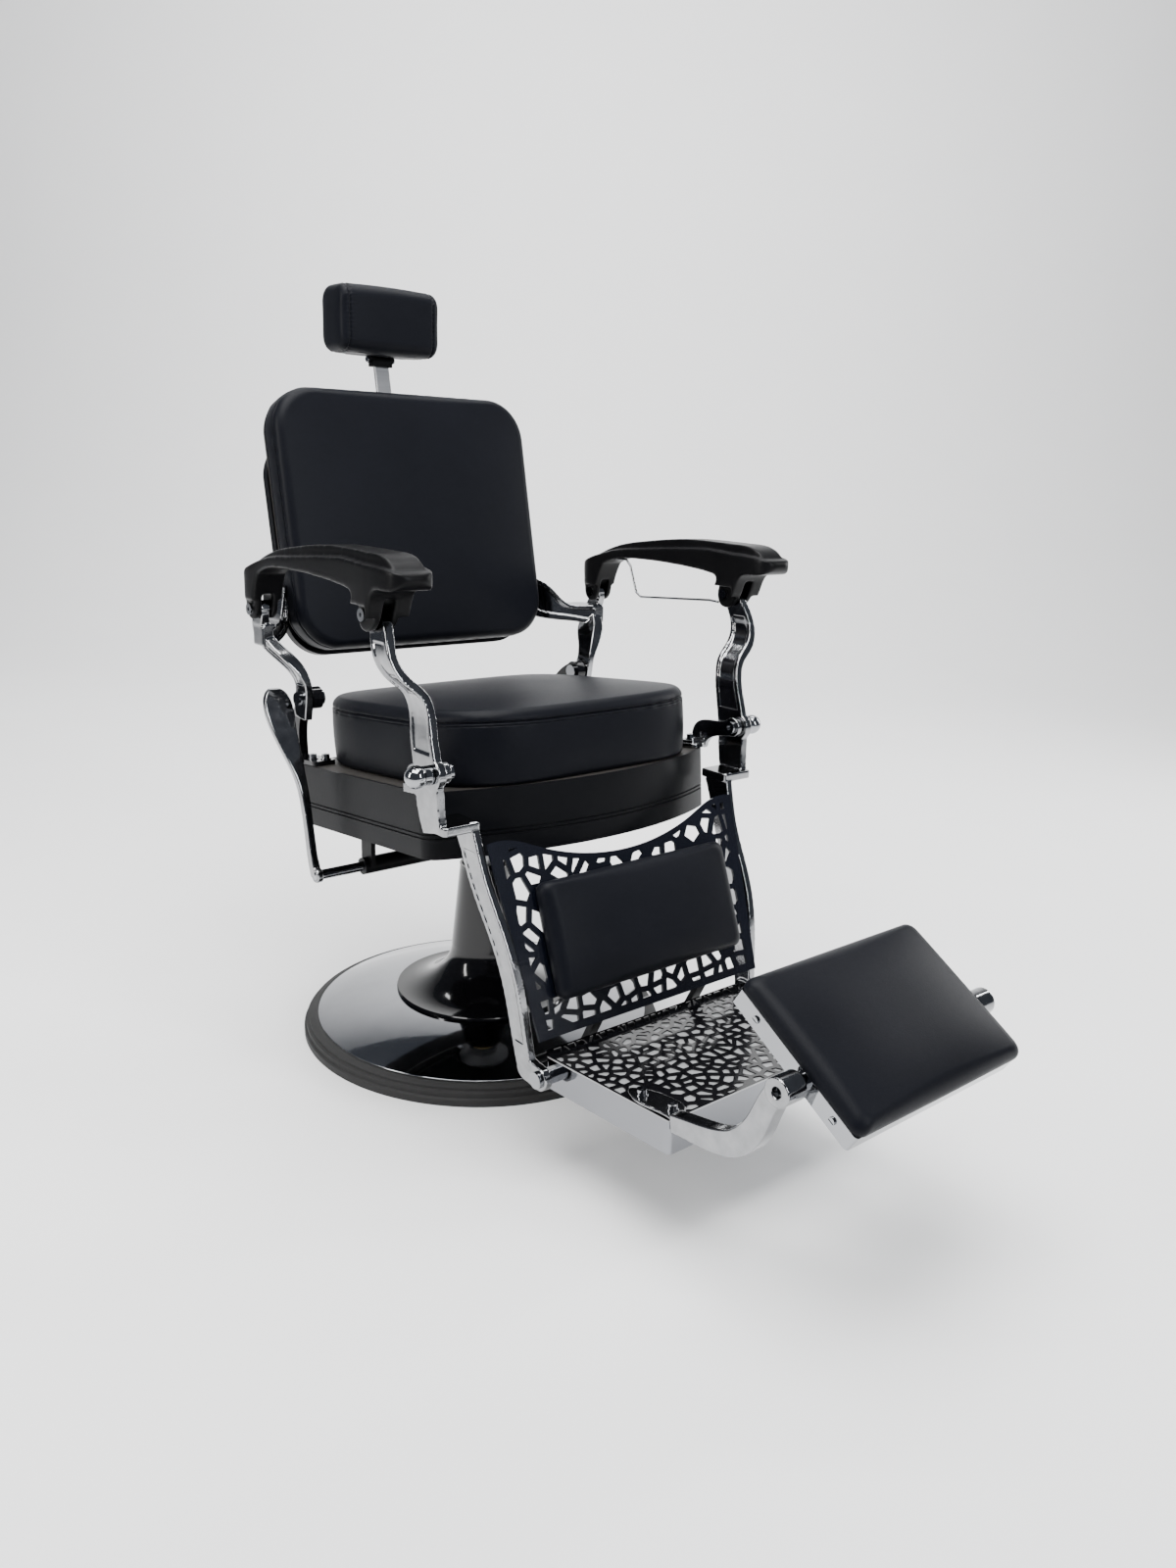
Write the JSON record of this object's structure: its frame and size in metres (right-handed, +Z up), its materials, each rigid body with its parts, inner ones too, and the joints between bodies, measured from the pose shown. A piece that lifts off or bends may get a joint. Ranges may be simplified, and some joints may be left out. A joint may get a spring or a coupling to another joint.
{
  "type": "hydraulic barber chair",
  "caption": "Classic hydraulic barber chair: round base and lift column, swivelling seat, reclining back linked to arms and leg frame, footplate with flip pad, adjustable headrest.",
  "frame": {"origin": "on the floor at the centre of the base, on the lift and swivel axis", "axes": "+Z up, -Y the way the sitter faces, +X to the sitter's left"},
  "size_m": [0.7496, 1.3201, 1.2564],
  "materials": {
    "arm_black": "semi-gloss moulding",
    "black_plastic": "matt",
    "black_rubber": "matt",
    "black_vinyl": "fine-grained upholstery",
    "board": "sealed plywood",
    "brass": "machined",
    "cast_chrome": "polished casting with satin recesses",
    "chrome": "polished",
    "gloss_black": "gloss",
    "iron": "rough",
    "pan_black": "satin",
    "panel_black": "gloss blue-black",
    "steel": "ground"
  },
  "bodies": {
    "base": {"base_plate": "iron", "base_ring": "black_rubber", "base_dish": "chrome", "pedestal_flare": "gloss_black", "pedestal_cone": "gloss_black", "pump_cylinder": "steel", "pump_gland": "gloss_black", "cylinder_bolts": "chrome"},
    "lift": {"piston_rod": "steel", "thrust_washer": "brass"},
    "seat": {"swivel_head": "iron", "lever_bearing": "black_plastic", "seat_pan": "pan_black", "seat_board": "board", "seat_cushion": "black_vinyl", "pan_bolts": "chrome", "front_bracket_left": "cast_chrome", "front_bracket_right": "cast_chrome", "rear_bracket_left": "gloss_black", "rear_bracket_right": "gloss_black", "front_pivot_pin_left": "chrome", "front_pivot_pin_right": "chrome", "rear_pivot_pin_left": "chrome", "rear_pivot_pin_right": "chrome"},
    "lever": {"lever_shaft": "chrome", "lever_arm": "cast_chrome"},
    "leg_frame": {"leg_post_left": "cast_chrome", "leg_post_right": "cast_chrome", "leg_panel": "panel_black", "calf_board": "board", "calf_pad": "black_vinyl", "foot_hinge_rod": "chrome", "leg_cross_tie": "pan_black"},
    "footplate": {"foot_tray": "chrome", "foot_grille": "gloss_black", "foot_bumpers": "black_rubber", "pad_arm_bolts": "chrome", "pad_arm_left": "cast_chrome", "pad_arm_right": "cast_chrome"},
    "flip_pad": {"flip_tray": "chrome", "flip_shafts": "chrome", "flip_screws": "chrome", "flip_board": "board", "flip_cushion": "black_vinyl"},
    "back": {"back_cushion": "black_vinyl", "back_board": "board", "back_shell": "pan_black", "headrest_socket": "black_plastic", "back_casting_left": "cast_chrome", "back_casting_right": "cast_chrome"},
    "headrest_slide": {"headrest_bar": "chrome", "headrest_block": "black_plastic", "headrest_pin": "chrome"},
    "headrest": {"headrest_plate": "black_plastic", "headrest_cushion": "black_vinyl"},
    "arm_left": {"armrest_left": "arm_black", "arm_pins_left": "chrome", "towel_wire": "chrome"},
    "arm_right": {"armrest_right": "arm_black", "arm_pins_right": "chrome"}
  },
  "joints": [
    {"name": "seat_lift", "type": "slide", "parent": "base", "child": "lift", "axis": [0, 0, 1], "range_m": [0, 0.15]},
    {"name": "swivel", "type": "hinge", "parent": "lift", "child": "seat", "pos_m": [0, 0, 0.35], "axis": [0, 0, 1], "continuous": true},
    {"name": "recline", "type": "hinge", "parent": "seat", "child": "back", "pos_m": [0, 0.095, 0.598], "axis": [-1, 0, 0], "range_deg": [0, 40]},
    {"name": "leg_swing", "type": "hinge", "parent": "seat", "child": "leg_frame", "pos_m": [0, -0.303, 0.562], "axis": [-1, 0, 0], "range_deg": [0, 27]},
    {"name": "arm_left_swing", "type": "hinge", "parent": "back", "child": "arm_left", "pos_m": [0.34, 0.122, 0.741], "axis": [-1, 0, 0], "range_deg": [-41.5, 0]},
    {"name": "arm_right_swing", "type": "hinge", "parent": "back", "child": "arm_right", "pos_m": [-0.34, 0.122, 0.741], "axis": [-1, 0, 0], "range_deg": [-41.5, 0]},
    {"name": "footplate_fold", "type": "hinge", "parent": "leg_frame", "child": "footplate", "pos_m": [0, -0.457, 0.152], "axis": [-1, 0, 0], "range_deg": [0, 35]},
    {"name": "pad_flip", "type": "hinge", "parent": "footplate", "child": "flip_pad", "pos_m": [0, -0.855, 0.305], "axis": [-1, 0, 0], "range_deg": [-40, 180]},
    {"name": "headrest_height", "type": "slide", "parent": "back", "child": "headrest_slide", "axis": [0, 0.2164, 0.9763], "range_m": [-0.04, 0.1]},
    {"name": "headrest_tilt", "type": "hinge", "parent": "headrest_slide", "child": "headrest", "pos_m": [0, 0.3409, 1.14038], "axis": [-1, 0, 0], "range_deg": [-18, 18]},
    {"name": "pump_stroke", "type": "hinge", "parent": "seat", "child": "lever", "pos_m": [0, 0.02, 0.327], "axis": [-1, 0, 0], "range_deg": [0, 12]}
  ],
  "couplings": [
    {"joint": "leg_swing", "follows": "recline", "ratio": 0.671},
    {"joint": "arm_left_swing", "follows": "recline", "ratio": -1.033},
    {"joint": "arm_right_swing", "follows": "recline", "ratio": -1.033}
  ]
}
